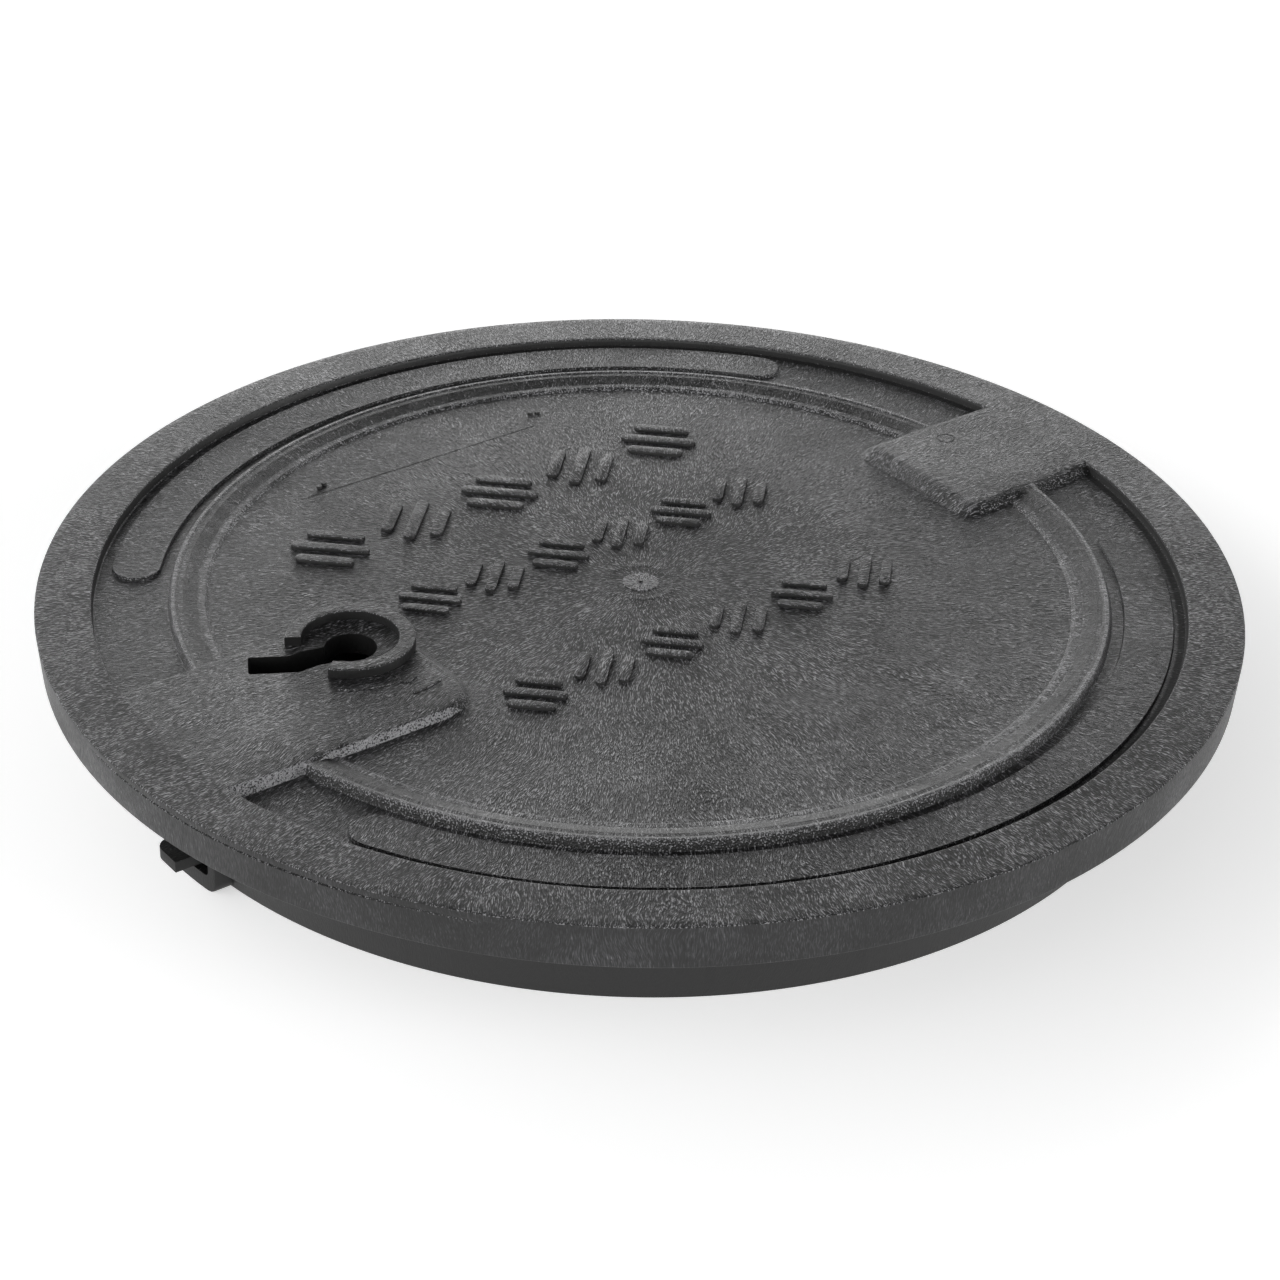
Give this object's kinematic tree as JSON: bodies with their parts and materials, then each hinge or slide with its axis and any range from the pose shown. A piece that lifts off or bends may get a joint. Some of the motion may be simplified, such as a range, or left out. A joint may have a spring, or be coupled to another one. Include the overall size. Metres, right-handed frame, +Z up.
{
  "type": "water meter box cover",
  "caption": "Round ribbed plastic cover for a water meter pit, with a stepped rim, raised pads, a keyhole with an open collar and a sprung slide bolt under it.",
  "frame": {"origin": "on the cover's axis, level with the lower edge of the skirt", "axes": "+Z up, out of the walking surface; +X from the centre towards the plain pad; the lock pad and the bolt lie towards -X"},
  "size_m": [0.6728, 0.6728, 0.0795],
  "materials": {
    "cover_plastic": "as moulded",
    "bolt_plastic": "as moulded",
    "spring_steel": "drawn wire",
    "screw_steel": "plain"
  },
  "bodies": {
    "cover_body": {"cover": "cover_plastic", "bolt_carrier": "bolt_plastic", "bolt_spring": "spring_steel", "carrier_screw_1": "screw_steel", "carrier_screw_2": "screw_steel", "carrier_screw_3": "screw_steel", "carrier_screw_4": "screw_steel"},
    "bolt_body": {"lock_bolt": "bolt_plastic"}
  },
  "joints": [
    {"name": "bolt_slide", "type": "slide", "parent": "cover_body", "child": "bolt_body", "axis": [1, 0, 0], "range_m": [0, 0.022], "stiffness_N_per_m": 400, "springref_m": -0.012, "deforming": ["bolt_spring"]}
  ]
}
